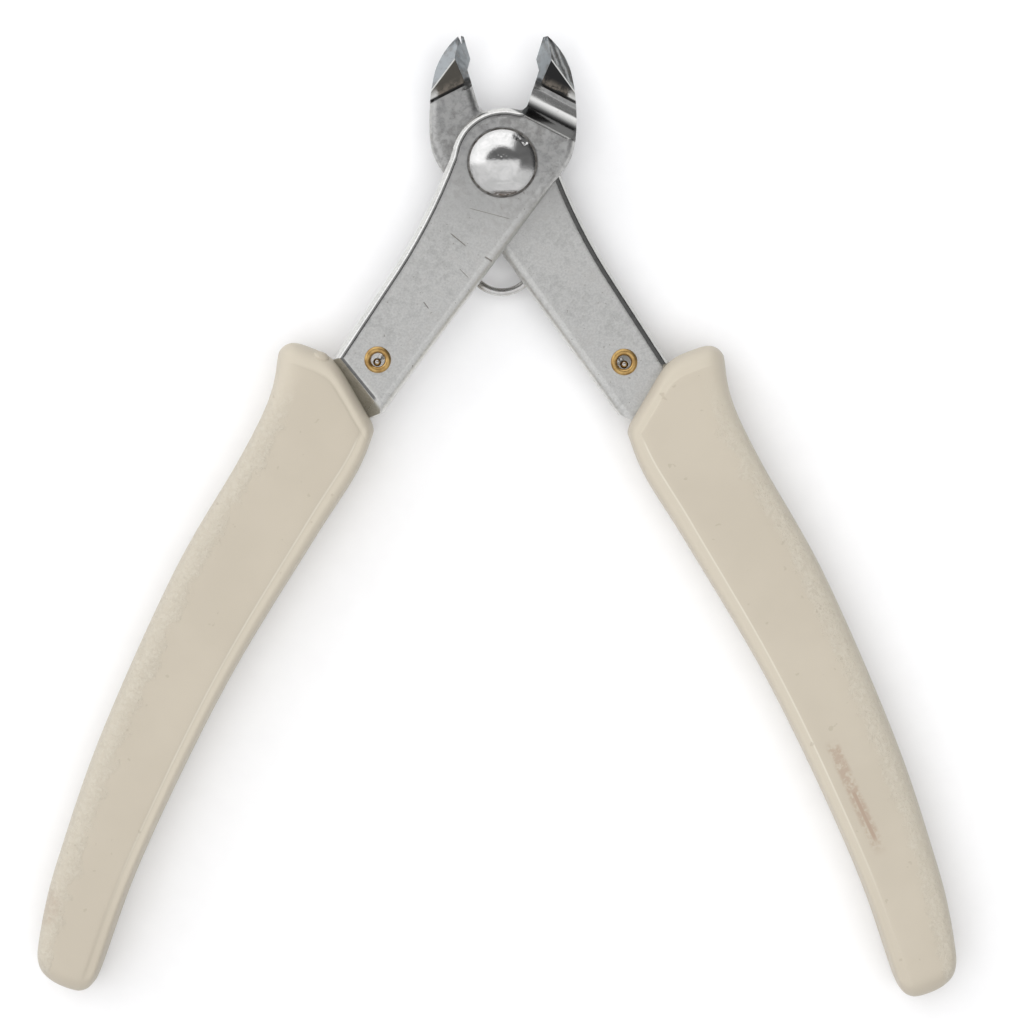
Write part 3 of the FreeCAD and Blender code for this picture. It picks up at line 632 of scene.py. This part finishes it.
def makeSpring():
    size = spring
    slope = size["pitch"] / (2 * math.pi * size["coil"])
    rightHook = Vector((-leftHook.x - size["hookOffset"], leftHook.y, 0))
    leftSeat = leftHook + Vector((-size["lean"] * 0.3, -size["lean"], 0))
    rightSeat = rightHook + Vector((size["lean"] * 0.6, -size["lean"], 0))
    start = tangentAngle(leftHook, 1)
    finish = tangentAngle(rightHook, -1)
    turn = 2 * math.pi + (start - finish) % (2 * math.pi)
    startZ = -plateThick - size["clear"] - size["wire"]
    finishZ = startZ - size["pitch"] * turn / (2 * math.pi)
    leftTip = plateThick + size["lapGap"] - size["hookSink"] - size["wire"]
    rightTip = -size["hookSink"] - size["wire"]

    def onCoil(angle, height):
        return Vector((coilCentre.x + size["coil"] * math.cos(angle),
                       coilCentre.y + size["coil"] * math.sin(angle), height))

    first = onCoil(start, startZ)
    last = onCoil(finish, finishZ)
    leftCorner = Vector((*leftSeat.xy, startZ + slope * (leftHook.xy - first.xy).length))
    rightCorner = Vector((*rightSeat.xy, finishZ - slope * (rightHook.xy - last.xy).length))
    leftEnd = Vector((*leftSeat.xy, leftTip))
    rightEnd = Vector((*rightSeat.xy, rightTip))
    steps = round(size["stepsPerTurn"] * turn / (2 * math.pi))
    coil = [onCoil(start - turn * step / steps, startZ + (finishZ - startZ) * step / steps)
            for step in range(steps + 1)]
    rightBend = roundedBend(last, rightCorner, rightEnd, size["bend"])
    split = last.lerp(rightBend[0], size["split"])
    path = [leftEnd] + roundedBend(leftEnd, leftCorner, first, size["bend"]) + coil + [split]
    wire = wireAlong("springWire", path)
    hook = wireAlong("springHook", [split] + rightBend + [rightEnd])
    toPlace = Matrix.Translation(pivot) @ Matrix.Scale(mm, 4)
    steel = springSteel()
    for piece in (wire, hook):
        addDome(piece, leftEnd if piece is wire else rightEnd)
        settle(piece, toPlace)
        smoothed(piece, 50)
        piece.data.materials.append(steel)
    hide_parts("return_spring")
    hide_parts("return_spring_leg")
    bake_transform(wire)
    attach(hook, "spring_leg")
    print("spring made,", round(turn / (2 * math.pi), 2), "turns")


def addDome(piece, end):
    # the cut end of the wire is filed round
    deselect()
    bpy.ops.mesh.primitive_uv_sphere_add(segments=spring["sides"] * 2, ring_count=spring["sides"],
                                         radius=spring["wire"] * 0.999, location=end)
    dome = bpy.context.object
    bpy.ops.object.mode_set(mode="EDIT")
    bpy.ops.mesh.select_all(action="SELECT")
    bpy.ops.mesh.bisect(plane_co=end, plane_no=(0, 0, 1), clear_inner=True, use_fill=True)
    bpy.ops.object.mode_set(mode="OBJECT")
    joined(piece, dome)


def springSteel():
    material, shader = newMaterial("springSteel")
    place = shader.closed(0)
    drawn = shader.noise(place, 5.0, 3, 0.6)
    stain = shader.noise(place, 0.6, 3, 0.5)
    colour = shader.mix(stain.ramp(0.35, 0.7), spring["grey"], spring["stain"])
    normal = shader.bump(drawn, 0.15, 0.00003)
    roughness = spring["roughness"] + drawn * 0.1
    finishWith(shader, Base_Color=colour, Metallic=1.0, Roughness=roughness, Normal=normal)
    return material


# ---- grips

grip = {
    "top": 4.0,                                     # height of the front face above the lap face
    "middle": -plateThick / 2,
    # rails from the mouth to the toe, on the palm side and on the finger side
    "inner": ((-5.1, -36.6), (-5.6, -42.0), (-8.25, -52.0), (-13.0, -72.0), (-16.3, -95.0),
              (-17.0, -110.4)),
    "outer": ((-19.1, -30.4), (-18.45, -36.0), (-19.7, -44.5), (-23.1, -60.0), (-25.6, -82.0),
              (-26.0, -98.0), (-25.7, -104.5), (-25.0, -109.4)),
    # the mouth from the palm side: its corner, the slanted edge along the plate and the flat top
    "mouth": ((-5.1, -36.6), (-5.5, -35.5), (-8.9, -32.35), (-12.0, -29.4), (-12.35, -29.1), (-12.8, -29.0),
              (-14.8, -28.93), (-17.3, -28.8), (-18.6, -29.3), (-19.2, -30.6)),
    "toe": ((-17.0, -110.4), (-17.3, -112.1), (-18.3, -113.0), (-19.9, -113.2), (-22.3, -112.9),
            (-23.8, -112.1), (-24.6, -111.0), (-25.0, -109.4)),
    "innerRound": 2.2,
    "outerRound": 3.6,
    "mouthRound": 2.7,
    "toeRound": 2.6,
    "step": 0.2,
    "stepWidth": 0.12,
    "length": 82.0,
    "mapWidth": 20.0,                               # millimetres across the whole of the grips' own map
    "pip": (-14.0, -29.75, 2.35),                   # a moulding pip on the left grip's flat top
    "pipSize": (1.15, 0.8, 1.1),
    "rows": 46,
    "weld": 1e-4,
}


def along(points, share):
    # a place on a smooth curve through the points, by its share of the length
    points = [Vector(point) for point in points]
    lengths = [(b - a).length for a, b in zip(points, points[1:])]
    left = share * sum(lengths)
    index = 0
    while index < len(lengths) - 1 and left > lengths[index]:
        left -= lengths[index]
        index += 1
    t = left / lengths[index]
    a, b = points[index], points[index + 1]
    before = points[index - 1] if index else a * 2 - b
    after = points[index + 2] if index + 2 < len(points) else b * 2 - a
    return 0.5 * (2 * a + (b - before) * t + (2 * before - 5 * a + 4 * b - after) * t ** 2
                  + (3 * a - before - 3 * b + after) * t ** 3)


def gripPoint(u, v):
    # u runs from the palm side to the finger side, v from the mouth to the toe
    size = grip
    inner, outer = along(size["inner"], v), along(size["outer"], v)
    mouth, toe = along(size["mouth"], u), along(size["toe"], u)
    corners = [Vector(size[rail][end]) for end in (0, -1) for rail in ("inner", "outer")]
    sides = inner.lerp(outer, u)
    ends = mouth.lerp(toe, v)
    flat = corners[0].lerp(corners[1], u).lerp(corners[2].lerp(corners[3], u), v)
    return sides + ends - flat


def gripHeights(first, step):
    # offsets from an edge and the heights there: the wall, the rounding and the start of the panel
    top = grip["top"] - grip["middle"]
    low = top - first
    return [(0.0, 0.0), (0.0, low * 0.6), (0.0, low), (first * 0.05, low + first * 0.32),
            (first * 0.22, low + first * 0.66), (first * 0.5, top - first * 0.1),
            (first * 0.75, top - max(first * 0.03, step)), (first, top - step),
            (first + grip["stepWidth"], top)]


def makeGripMesh(name):
    size = grip
    long = size["length"]
    top = size["top"] - size["middle"]
    inner = gripHeights(size["innerRound"], size["step"])
    outer = gripHeights(size["outerRound"], 0.0)
    mouth = gripHeights(size["mouthRound"], size["step"])
    toe = gripHeights(size["toeRound"], 0.0)
    # each column keeps its distance from the palm side or the finger side; the last number says which
    columns = [(offset, height, 0) for offset, height in inner]
    columns += [(0.25, top, None), (0.5, top, None), (0.75, top, None)]
    columns += [(offset, height, 1) for offset, height in reversed(outer[:-1])]
    rows = [(offset / long, height) for offset, height in mouth]
    first = rows[-1][0]
    last = 1 - size["toeRound"] / long
    rows += [(first + (last - first) * (index + 1) / size["rows"], top) for index in range(size["rows"] - 1)]
    rows += [(1 - offset / long, height) for offset, height in reversed(toe[:-1])]

    deselect()
    bpy.ops.mesh.primitive_grid_add(x_subdivisions=len(columns) - 1, y_subdivisions=len(rows) - 1, size=2)
    piece = added(name)
    mapped = {}
    for vertex in piece.data.vertices:
        column = round((vertex.co.x + 1) / 2 * (len(columns) - 1))
        row = round((vertex.co.y + 1) / 2 * (len(rows) - 1))
        (offset, across, edge), (v, down) = columns[column], rows[row]
        wide = (along(size["outer"], v) - along(size["inner"], v)).length
        near = (size["innerRound"] + size["stepWidth"]) / wide
        far = 1 - size["outerRound"] / wide
        u = near + (far - near) * offset if edge is None else abs(edge - offset / wide)
        place = gripPoint(u, v)
        # the two roundings meet in the corners like the sides of a pillow
        drop = ((top - across) ** 2 + (top - down) ** 2) ** 0.5
        vertex.co = (place.x, place.y, size["middle"] + max(top - drop, 0.0))
        fromEdge = u * wide if u < 0.5 else size["mapWidth"] - (1 - u) * wide
        mapped[vertex.index] = (fromEdge / size["mapWidth"], v)
    layer = piece.data.uv_layers[0].data
    for loop in piece.data.loops:
        layer[loop.index].uv = mapped[loop.vertex_index]
    return piece


def finishGrip(piece):
    # the back half is the front half turned over
    modifier(piece, "MIRROR", use_axis=(False, False, True), use_clip=True, merge_threshold=0.001)
    for vertex in piece.data.vertices:
        vertex.co.z -= grip["middle"]
    applyAll(piece)
    outward(piece, grip["weld"])
    modifier(piece, "SUBSURF", levels=2, render_levels=2)
    applyAll(piece)
    for vertex in piece.data.vertices:
        vertex.co.z += grip["middle"]


gripLook = {
    "panel": (0.485, 0.436, 0.352, 1),
    "shade": (0.462, 0.414, 0.333, 1),
    # painted light on the grips' rounded bands
    "band": (0.53, 0.481, 0.391, 1),
    # painted highlight along the step between the band and the panel
    "line": (0.66, 0.62, 0.53, 1),
    "hide": (0.555, 0.515, 0.43, 1),
    "rub": (0.30, 0.19, 0.13, 1),
    "dirt": (0.33, 0.28, 0.21, 1),
    # noises: how many to the millimetre, detail, roughness and distortion
    "cloud": (0.07, 4, 0.55),
    "fine": (6.0, 4, 0.6),
    "leather": (2.0, 5, 0.68, 0.8),
    "ragged": (0.5, 5, 0.72),
    "lineStrength": (0.25, 2, 0.5),
    "specks": (0.9, 2, 0.4),
    "blot": (1.4, 4, 0.65),
    "pebble": 1.8,
    "stipple": 3.3,         # width of the stippled band on the finger side
    "raggedness": 4.5,
    "lineWidth": (0.14, 0.05),
    "rounded": (3.6, 1.2),
    # a brown rub along the right grip's step and its dark middle: start, end and width
    "rubLine": ((17.7, -79.5), (19.7, -95.5), 1.1),
    "rubMiddle": ((18.5, -86.0), (19.6, -94.0), 0.35),
    "stainAt": (-25.0, -104.3),
    "roughness": 0.5,
    "bumpStrength": 0.6,
    "bumpHeight": 0.0003,
}


def gripPlastic(name, side):
    look = gripLook
    material, shader = newMaterial(name)
    place = shader.closed(side)
    x, y, z = shader.axes(place)
    across, down, _ = shader.axes(shader.node("UVMap", {"uv_map": "UVMap"}))
    cloud = shader.noise(place, *look["cloud"])
    fine = shader.noise(place, *look["fine"])
    leather = shader.noise(place, *look["leather"])
    pebble = shader.node("TexVoronoi", {"feature": "SMOOTH_F1"},
                         {"Vector": place, "Scale": look["pebble"], "Smoothness": 0.5})
    # the map gives the distance from the palm side, from the finger side and from the mouth
    fromPalm = across * grip["mapWidth"]
    fromFingers = grip["mapWidth"] - fromPalm
    fromMouth = down * grip["length"]
    ragged = fromFingers + (shader.noise(place, *look["ragged"]) - 0.5) * look["raggedness"]
    stipple = ragged.ramp(look["stipple"] + 0.4, look["stipple"] - 0.4) * fromMouth.ramp(2.5, 12.0)
    stepAt = grip["innerRound"] + grip["stepWidth"] / 2
    inner = fromPalm.ramp(stepAt + 0.06, stepAt - 0.06)
    mouth = fromMouth.ramp(grip["mouthRound"] + 0.15, grip["mouthRound"])
    # painted light: the rounded bands along the palm side, the mouth and the finger side are painted lighter
    band = (inner * down.ramp(0.98, 0.7)).most(mouth)
    rounded = fromFingers.ramp(*look["rounded"]) * 0.8
    # painted highlight along the step, uneven in strength
    line = (fromPalm - stepAt).abs().ramp(*look["lineWidth"]) * fromMouth.ramp(3, 5) * down.ramp(0.95, 0.6)
    line = line * (0.5 + shader.noise(place, *look["lineStrength"]) * 0.5)
    colour = shader.mix(cloud.ramp(0.35, 0.65), look["shade"], look["panel"])
    colour = shader.mix((band * 0.8).most(rounded), colour, look["band"])
    colour = shader.mix(stipple * (leather.ramp(0.4, 0.62) * 0.55 + 0.15), colour, look["hide"])
    colour = shader.mix(line * 0.7, colour, look["line"])
    specks = shader.noise(place, *look["specks"]).ramp(0.735, 0.76)
    colour = shader.mix(specks * 0.35, colour, look["dirt"])
    blot = shader.noise(place, *look["blot"]).ramp(0.35, 0.6)
    inFront = z.ramp(0, 1)
    if side < 0:
        rub = scratch(x, y, *look["rubLine"]) * inFront
        dark = scratch(x, y, *look["rubMiddle"]) * inFront
        colour = shader.mix((rub * blot * 0.45).most(dark * 0.6), colour, look["rub"])
    else:
        stainX, stainY = look["stainAt"]
        stain = ((x - stainX).power(2) + ((y - stainY) * 0.6).power(2)).ramp(3.0, 0.2) * inFront
        colour = shader.mix(stain * (blot * 0.5 + 0.3) * 0.3, colour, look["rub"])
    height = (leather * 1.2 - pebble * 0.5) * stipple + fine * 0.06 + cloud * 0.3
    normal = shader.bump(height, look["bumpStrength"], look["bumpHeight"])
    roughness = look["roughness"] + fine * 0.08 - stipple * leather * 0.1
    finishWith(shader, Base_Color=colour, Roughness=roughness, Normal=normal, IOR=1.48)
    return material


def addPip(piece):
    deselect()
    bpy.ops.mesh.primitive_uv_sphere_add(segments=32, ring_count=20, radius=1)
    pip = bpy.context.object
    pip.data.uv_layers[0].name = "UVMap"
    bpy.ops.object.mode_set(mode="EDIT")
    bpy.ops.mesh.select_all(action="SELECT")
    bpy.ops.transform.resize(value=grip["pipSize"])
    bpy.ops.transform.translate(value=grip["pip"])
    bpy.ops.object.mode_set(mode="OBJECT")
    joined(piece, pip)


def makeGrips():
    left = makeGripMesh("leftGrip")
    finishGrip(left)
    pick(left)
    bpy.ops.object.duplicate()
    right = added("rightGrip")
    addPip(left)
    turnOver = Matrix.Translation((0, 0, 2 * grip["middle"])) @ Matrix.Rotation(math.pi, 4, "Y")
    settle(left, halfMatrix(1))
    settle(right, halfMatrix(-1) @ turnOver)
    for piece, side, body, node in ((left, 1, "front_half", "left_grip"),
                                    (right, -1, "rear_half", "right_grip")):
        smoothed(piece, 60)
        piece.data.materials.append(gripPlastic(node + "Plastic", side))
        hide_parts(node)
        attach(piece, body)
    print("grips made,", len(left.data.polygons), "faces each")


# ---- stage, light and camera

view = {
    "scale": 126.42,        # width of the picture at the height of the plates
    "pivotAcross": -1.17,
    "pivotUp": 43.0,
    "roll": math.radians(0.4),
    "lens": 200.0,
    "sensor": 36.0,
    "clip": (0.01, 20.0),   # metres
}


tent = {
    "wall": 0.8,            # the wall behind the handles, and the level of the whole tent
    "bright": 0.6,          # added on the left and beyond the jaws
    "right": 0.62,          # taken off on the right
    "horizon": 0.35,        # taken off near the floor
    "gap": 0.78,            # taken off overhead, where the tent is open
    "roof": 0.15,           # added overhead
    "darkest": 0.03,
    "blue": 1.02,           # the light's blue part, against its red and green
    # the two lamps, in metres and watts: place, size and power
    "key": ((-0.55, 0.35, 0.4), 0.4, 0.3),
    "fill": ((0, 0, 1.2), 1.5, 10.5),
}


paper = {
    "size": 4.0,            # metres
    "grey": (0.86, 0.86, 0.86, 1),
    "white": (0.90, 0.90, 0.90, 1),
    "fibres": 300.0,
    "roughness": 0.9,
}


def makeStage():
    deselect()
    bpy.ops.mesh.primitive_plane_add(size=paper["size"], location=(0, 0, 0))
    floor = added("floor")
    material, shader = newMaterial("floorPaper")
    place = shader.node("TexCoord", output="Object")
    fibre = shader.noise(place, paper["fibres"], 4, 0.6)
    colour = shader.mix(fibre, paper["grey"], paper["white"])
    finishWith(shader, Base_Color=colour, Roughness=paper["roughness"])
    floor.data.materials.append(material)


def addArea(name, place, size, power):
    # a square lamp that points at the middle of the floor
    deselect()
    bpy.ops.object.light_add(type="AREA", location=place)
    light = bpy.context.object
    light.name = name
    light.data.shape = "RECTANGLE"
    light.data.size = light.data.size_y = size
    light.data.energy = power
    light.visible_glossy = False
    light.rotation_euler = (-Vector(place)).to_track_quat("-Z", "Y").to_euler()


def makeLight():
    world = bpy.data.worlds.new("studio")
    bpy.context.scene.world = world
    world.use_nodes = True
    shader = Shader(world.node_tree)
    toward = shader.node("TexCoord", output="Generated")
    x, y, z = shader.axes(toward)
    # a pale tent with a bright wall on the left and beyond the jaws, a dark one on the right, and
    # a dark gap overhead, beyond the middle
    look = tent
    roof = z.ramp(0.74, 0.79)
    upper = y.ramp(-0.1, 0.1)
    right = x.ramp(0.25, 0.5)
    level = look["wall"] + (1 - roof) * upper * (1 - right) * look["bright"]
    level = level - (1 - roof) * right * y.ramp(-0.35, 0.0) * look["right"]
    level = level - z.ramp(0.3, 0.1) * look["horizon"] + roof * look["roof"]
    level = (level - roof * y.ramp(0.13, 0.16) * look["gap"]).most(look["darkest"])
    colour = shader.node("CombineXYZ", None, {0: level, 1: level, 2: level * look["blue"]})
    background = shader.node("Background", None, {"Color": colour, "Strength": 1.0})
    shader.node("OutputWorld", None, {"Surface": background})
    addArea("keyLight", *look["key"])
    addArea("fillLight", *look["fill"])


def makeCamera():
    deselect()
    bpy.context.scene.view_settings.view_transform = "Standard"
    reach = view["lens"] * view["scale"] * mm / view["sensor"]
    roll = Matrix.Rotation(view["roll"], 4, "Z")
    aim = pivot - (roll @ Vector((view["pivotAcross"], view["pivotUp"], 0))) * mm
    aim.z = pivot.z + reach
    bpy.ops.object.camera_add(location=aim)
    camera = bpy.context.object
    camera.matrix_world = Matrix.Translation(aim) @ roll
    camera.data.lens = view["lens"]
    camera.data.sensor_width = view["sensor"]
    camera.data.clip_start, camera.data.clip_end = view["clip"]
    bpy.context.scene.camera = camera
    print("camera at", [round(value, 4) for value in aim])


dressPlates()
makeRivet()
dressWasher()
dressEyelets()
makeSpring()
makeGrips()
makeStage()
makeLight()
makeCamera()
